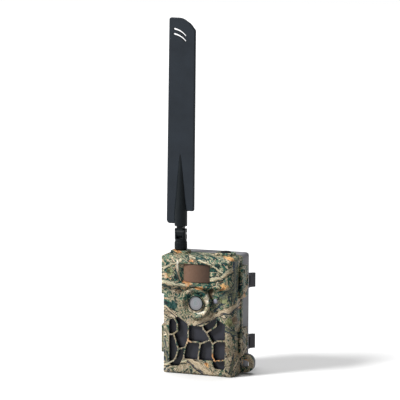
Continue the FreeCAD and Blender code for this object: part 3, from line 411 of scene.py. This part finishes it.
def camo_material():
    """Camouflage print outside, with a few painted highlights and shade on the lens ring; near-black in the cells
    of the panel, and bare black plastic inside the shell.
    """
    s = Shader("camo_shell", roughness=0.5, specular=0.25)
    colour, relief = camo_pattern(s)
    x, y, z = s.split(s.millimetres())
    wide = s.math("ABSOLUTE", x)
    panel_low, panel_high = (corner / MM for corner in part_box("ir_window"))
    cell = s.both(s.within(y, panel_low.y - RIB_DEPTH, panel_low.y + 3),
                  s.both(s.math("LESS_THAN", wide, panel_high.x), s.within(z, panel_low.z, panel_high.z)))
    shell_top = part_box("rear_shell")[1].z / MM
    inside = s.both(s.math("GREATER_THAN", y, CAVITY_Y),
                    s.both(s.math("LESS_THAN", wide, CAVITY_HALF), s.within(z, WALL, shell_top - WALL)))
    # The mask makes the cells of the panel near-black, and leaves the inside of the shell bare black plastic.
    bare = s.math("MAXIMUM", cell, inside)
    s.put("Base Color", s.mix(bare, colour, (0.012, 0.012, 0.014)))
    grain = s.noise(s.place, 2600.0, 2.0)
    s.put("Roughness", s.span(s.math("ADD", grain, s.noise(s.place, 60.0)), 0.6, 1.4, 0.4, 0.62))
    height = s.math("ADD", s.math("MULTIPLY", relief, 0.7), s.math("MULTIPLY", grain, 0.3))
    s.bump(height, 0.22, edge=0.0005)
    return s.material


# ---- plastics, rubber and metals ------------------------------------------------------------------
def moulded(name, colour, roughness=0.5, grain_scale=2200.0, relief=0.15, edge=0.0004, specular=0.5,
            vary=0.25):
    """Moulded plastic or rubber with a fine spark-eroded grain, and soft handling marks."""
    s = Shader(name, colour, roughness, specular=specular)
    cloud = s.noise(s.place, 45.0, 4.0, 0.6)
    darker, lighter = (tuple(c * k for c in colour) for k in (1 - vary, 1 + vary))
    grain = s.noise(s.place, grain_scale, 2.0, 0.6)
    tint = s.math("ADD", s.math("MULTIPLY", cloud, 0.6), s.math("MULTIPLY", grain, 0.4))
    s.put("Base Color", s.ramp(tint, [(0.3, darker), (0.7, lighter)]))
    s.put("Roughness", s.span(cloud, 0.3, 0.7, roughness - 0.07, roughness + 0.09))
    s.bump(grain, relief, edge=edge)
    return s.material


def metal(name, colour, roughness, scratch=(60, 60, 1500)):
    """Plated metal with fine drawn scratches and a little tarnish."""
    s = Shader(name, colour, roughness, metallic=1.0)
    lines = s.noise(s.stretch(s.place, scratch), 1.0, 3.0, 0.6)
    cloud = s.noise(s.place, 220.0, 3.0)
    s.put("Base Color", s.ramp(cloud, [(0.3, tuple(c * 0.7 for c in colour)), (0.65, colour)]))
    s.put("Roughness", s.span(lines, 0.3, 0.7, roughness * 0.7, roughness * 1.6))
    s.bump(lines, 0.12, 0.0001, 0.00015)
    return s.material


def board_material():
    """Circuit board: green mask, fine tracks and tinned pads."""
    s = Shader("pcb", (0.01, 0.09, 0.04), 0.35)
    tracks = s.add("ShaderNodeTexBrick", {"Vector": s.stretch(s.place, (1, 1, 1), (90, 0, 0)), "Scale": 240.0,
                                          "Color1": (0.008, 0.1, 0.045, 1), "Color2": (0.006, 0.07, 0.03, 1),
                                          "Mortar": (0.02, 0.17, 0.08, 1), "Mortar Size": 0.04}).outputs[0]
    pads = s.cells(s.place, 420.0, randomness=0.35)
    is_pad = s.math("LESS_THAN", pads, 0.17)
    s.put("Base Color", s.mix(is_pad, tracks, (0.6, 0.58, 0.5)))
    s.put("Metallic", is_pad)
    s.bump(pads, 0.2, 0.0001)
    return s.material


def lens_glass():
    """Flat front glass, opaque: a pale reflection and the rings of the lens are painted into its colour."""
    s = Shader("clear_glass", (0.3, 0.3, 0.31), 0.08)
    x, _, z = s.split(s.vector("SUBTRACT", s.place, tuple(middle("lens_window"))))
    radius = s.math("SQRT", s.math("ADD", s.math("MULTIPLY", x, x), s.math("MULTIPLY", z, z)))
    centimetres = s.math("MULTIPLY", radius, 100.0)
    # The ramp paints the lens's rings, and its pale greys are a painted reflection.
    rings = s.ramp(centimetres, [
        (0.0, (0.22, 0.23, 0.24)), (0.12, (0.27, 0.28, 0.29)), (0.22, (0.19, 0.21, 0.22)),
        (0.25, (0.26, 0.27, 0.29)), (0.43, (0.28, 0.28, 0.31)), (0.455, (0.10, 0.10, 0.11)),
        (0.48, (0.27, 0.27, 0.29)), (0.66, (0.24, 0.24, 0.26)), (0.69, (0.17, 0.17, 0.18)),
        (0.8, (0.23, 0.23, 0.24)), (0.9, (0.12, 0.12, 0.13))])
    # The sheen noise paints a teal-tinted reflection into the colour and gives a faint relief.
    sheen = s.noise(s.place, 150.0, 2.0)
    s.put("Base Color", s.mix(s.span(sheen, 0.45, 0.7, 0.0, 0.4), rings, (0.16, 0.27, 0.27)))
    s.put("Roughness", s.span(s.noise(s.place, 900.0, 2.0), 0.3, 0.7, 0.05, 0.14))
    s.put("Coat Weight", 0.6)
    s.bump(sheen, 0.02, 0.0001)
    return s.material


def pir_material():
    """Milky brown window of the motion sensor, with faint segments, and painted shade that darkens it towards the
    latch side.
    """
    s = Shader("pir_plastic", (0.2, 0.12, 0.08), 0.42, specular=0.35)
    segments = s.add("ShaderNodeTexBrick", {
        "Vector": s.stretch(s.place, (1, 1, 1), (90, 0, 0)), "Scale": 150.0, "Color1": (1, 1, 1, 1),
        "Color2": (0.86, 0.86, 0.86, 1), "Mortar": (0.55, 0.55, 0.55, 1), "Mortar Size": 0.03}).outputs[0]
    mottle = s.noise(s.place, 800.0, 3.0, 0.6)
    warm = s.ramp(mottle, [(0.3, (0.15, 0.083, 0.05)), (0.7, (0.21, 0.118, 0.076))])
    x, _, _ = s.split(s.millimetres())
    # Painted shade: the colour is scaled from 1.1 down to 0.42 across x, darker towards the latch side.
    warm = s.vector("SCALE", s.mix(0.12, warm, s.mix(1.0, warm, segments, "MULTIPLY")),
                    scale=s.span(x, -12.0, 17.0, 1.1, 0.42))
    s.put("Base Color", warm)
    s.put("Subsurface Weight", 0.15)
    s.put("Subsurface Radius", (0.002, 0.001, 0.0006))
    s.put("Roughness", s.span(mottle, 0.3, 0.7, 0.38, 0.5))
    s.bump(mottle, 0.08, 0.0001)
    return s.material


CELL_LENGTH, COPPER_FROM = 49.5, 0.66       # length of a cell (mm), and where its coppery band starts


def cell_wrap():
    """Generic battery sleeve: dark below, coppery above, bare ends."""
    s = Shader("cell_wrap", (0.05, 0.05, 0.06), 0.3)
    _, _, z = s.split(s.millimetres())
    lows = sorted({round(v.co.z / MM) for v in nodes["battery_cells"].data.vertices})
    first, second = lows[0], next(v for v in lows if v > lows[0] + CELL_LENGTH + 5)
    row_lift = s.math("MULTIPLY", s.math("GREATER_THAN", z, second - 1), second - first)
    share = s.math("DIVIDE", s.math("SUBTRACT", s.math("SUBTRACT", z, row_lift), first), CELL_LENGTH)
    bare_end, dark, copper, bare_top = (0.7,) * 3, (0.02, 0.02, 0.022), (0.62, 0.3, 0.11), (0.75,) * 3
    bands = [(0.0, bare_end), (0.012, dark), (COPPER_FROM, copper), (0.965, bare_top)]
    s.put("Base Color", s.ramp(share, bands, constant=True))
    s.put("Metallic", s.math("GREATER_THAN", share, COPPER_FROM))
    s.put("Roughness", s.span(s.noise(s.place, 400.0), 0.3, 0.7, 0.2, 0.36))
    s.bump(s.noise(s.stretch(s.place, (1, 1, 0.2)), 900.0), 0.06, 0.0001)
    return s.material


def screen_material():
    """Switched-off display: near-black glass with a faint blue-grey picture area."""
    s = Shader("screen_glass", (0.01, 0.012, 0.016), 0.08)
    cloud = s.noise(s.place, 90.0, 3.0)
    s.put("Base Color", s.ramp(cloud, [(0.3, (0.006, 0.008, 0.011)), (0.7, (0.018, 0.022, 0.03))]))
    s.put("Roughness", s.span(cloud, 0.3, 0.7, 0.05, 0.16))
    s.put("Coat Weight", 0.5)
    s.bump(s.noise(s.place, 3000.0), 0.02, 0.0001)
    return s.material


def filter_material():
    """Dark infrared filter sheet with a satin surface."""
    s = Shader("ir_filter", (0.05, 0.05, 0.064), 0.4, specular=0.3)
    cloud = s.noise(s.place, 70.0, 3.0)
    grain = s.noise(s.place, 2400.0, 2.0)
    s.put("Base Color", s.ramp(cloud, [(0.3, (0.022, 0.023, 0.031)), (0.7, (0.030, 0.031, 0.042))]))
    s.put("Roughness", s.span(grain, 0.3, 0.7, 0.32, 0.44))
    s.bump(grain, 0.05, 0.0001)
    return s.material


def make_materials():
    """Makes one material for each slot, and gives every node of the frame its own."""
    made = {
        "camo_shell": camo_material(),
        "grey_plastic": moulded("grey_plastic", (0.19, 0.19, 0.205), 0.5, specular=0.3),
        "black_plastic": moulded("black_plastic", (0.006, 0.009, 0.011), 0.42, relief=0.08, specular=0.16),
        "antenna_blade": moulded("antenna_blade", (0.018, 0.024, 0.032), 0.55, 1100.0, 0.5, 0.0006, 0.22),
        "black_rubber": moulded("black_rubber", (0.01, 0.01, 0.011), 0.7, 1800.0, 0.25, specular=0.2),
        "silicone": moulded("silicone", (0.33, 0.33, 0.34), 0.55, 1200.0, 0.05),
        "steel": metal("steel", (0.55, 0.55, 0.56), 0.3),
        "nickel": metal("nickel", (0.62, 0.59, 0.54), 0.24),
        "brass": metal("brass", (0.72, 0.5, 0.2), 0.3),
        "tinned_steel": metal("tinned_steel", (0.6, 0.61, 0.62), 0.34, (40, 40, 900)),
        "pcb": board_material(),
        "clear_glass": lens_glass(),
        "pir_plastic": pir_material(),
        "ir_filter": filter_material(),
        "led_epoxy": moulded("led_epoxy", (0.05, 0.03, 0.05), 0.12, 600.0, 0.02, 0.0),
        "diffuser": moulded("diffuser", (0.34, 0.34, 0.42), 0.4, 1600.0, 0.05, 0.0002, vary=0.08),
        "panel_plastic": moulded("panel_plastic", (0.035, 0.037, 0.04), 0.5, relief=0.25),
        "screen_glass": screen_material(),
        "key_rubber": moulded("key_rubber", (0.09, 0.095, 0.1), 0.6, 1800.0, 0.12, 0.0003),
        "card_plastic": moulded("card_plastic", (0.02, 0.03, 0.07), 0.4),
        "sim_plastic": moulded("sim_plastic", (0.6, 0.6, 0.58), 0.35, relief=0.05),
        "cell_wrap": cell_wrap(),
    }
    bracket_grey = moulded("bracket_grey", (0.085, 0.086, 0.098), 0.5, specular=0.3)
    for entry in record["subparts"]:
        mesh = nodes[entry["node"]].data
        is_bracket = entry["node"].startswith("strap_bracket")
        mesh.materials.clear()
        mesh.materials.append(bracket_grey if is_bracket else made[entry["material_slot"]])
    return made


# ---- detail pieces --------------------------------------------------------------------------------
def add_piece(name, data, material, body):
    """Puts a mesh or curve into the scene with its material, body and slot."""
    piece = bpy.data.objects.new(name, data)
    data.materials.append(material)
    bpy.context.scene.collection.objects.link(piece)
    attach(piece, body)
    return piece


def extruded(polygons, y_back, y_front, bevel):
    """Mesh of flat shapes (X, Z in metres) that stand between two Y planes, with softened front edges."""
    build = bmesh.new()
    for points in polygons:
        face = build.faces.new([build.verts.new((px, y_back, pz)) for px, pz in points])
        grown = bmesh.ops.extrude_face_region(build, geom=[face])
        top = [v for v in grown["geom"] if isinstance(v, bmesh.types.BMVert)]
        bmesh.ops.translate(build, verts=top, vec=(0, y_front - y_back, 0))
        rim = [e for e in build.edges if all(v in top for v in e.verts)]
        bmesh.ops.bevel(build, geom=rim, offset=bevel, segments=2, affect="EDGES")
    bmesh.ops.recalc_face_normals(build, faces=build.faces)
    mesh = bpy.data.meshes.new("shape")
    build.to_mesh(mesh)
    build.free()
    return mesh


SYMBOL = {"size": 1.5 * MM, "foot": 0.5 * MM, "sunk": 0.05 * MM, "bevel": 0.06 * MM}


def on_circle(degrees, radius=1.0):
    return math.cos(math.radians(degrees)) * radius, math.sin(math.radians(degrees)) * radius


def key_symbols(material):
    """Raised arrows, ring and bars on the seven keys, drawn at unit size and placed in the key's middle."""
    def arrow(turn):
        return [[on_circle(a + turn) for a in (0, 125, 235)]]

    def bar(z, half=0.17):
        return [(-1, z - half), (1, z - half), (1, z + half), (-1, z + half)]

    step, inner = 30, 0.66
    ring = [[on_circle(a), on_circle(a + step), on_circle(a + step, inner), on_circle(a, inner)]
            for a in range(0, 360, step)]
    symbols = {"key_up": arrow(90), "key_down": arrow(270), "key_left": arrow(180), "key_right": arrow(0),
               "key_ok": ring, "key_menu": [bar(-0.6), bar(0), bar(0.6)], "key_test": arrow(0)}
    for key, shapes in symbols.items():
        centre, back = middle(key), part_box(key)[1].y
        placed = [[(centre.x + px * SYMBOL["size"], centre.z + pz * SYMBOL["size"]) for px, pz in shape]
                  for shape in shapes]
        mesh = extruded(placed, back - SYMBOL["foot"], back - SYMBOL["sunk"], SYMBOL["bevel"])
        add_piece(f"symbol_{key}", mesh, material, key)


SPRING = {"wire": 0.34 * MM, "height": 1.85 * MM, "foot_r": 4.7 * MM, "tip_r": 2.8 * MM, "turns": 3.2}
CELL_COLUMNS = 6


def coil_springs(material):
    """Conical coil springs under the cells, in place of the stepped stand-ins."""
    low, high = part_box("battery_springs")
    cell_low, cell_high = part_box("battery_cells")
    cell_radius = (cell_high.y - cell_low.y) / 2
    first, last = cell_low.x + cell_radius, cell_high.x - cell_radius
    curve = bpy.data.curves.new("coil_springs", "CURVE")
    curve.dimensions, curve.bevel_depth, curve.bevel_resolution = "3D", SPRING["wire"], 3
    steps = 64
    for foot in (low.z, high.z - SPRING["height"]):
        for column in range(CELL_COLUMNS):
            x = first + (last - first) * column / (CELL_COLUMNS - 1)
            spline = curve.splines.new("NURBS")
            spline.points.add(steps)
            for i, point in enumerate(spline.points):
                share = i / steps
                angle = share * SPRING["turns"] * 2 * math.pi
                radius = SPRING["foot_r"] + (SPRING["tip_r"] - SPRING["foot_r"]) * share
                rise = SPRING["wire"] + share * (SPRING["height"] - 2 * SPRING["wire"])
                point.co = (x + radius * math.cos(angle), radius * math.sin(angle), foot + rise, 1)
            spline.order_u = 4
            spline.use_endpoint_u = True
    piece = add_piece("coil_springs", curve, material, "rear_case")
    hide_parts("battery_springs")


# ---- put together ---------------------------------------------------------------------------------
make_camera()
make_lights()
make_floor()
materials = make_materials()
key_symbols(materials["sim_plastic"])
coil_springs(materials["nickel"])
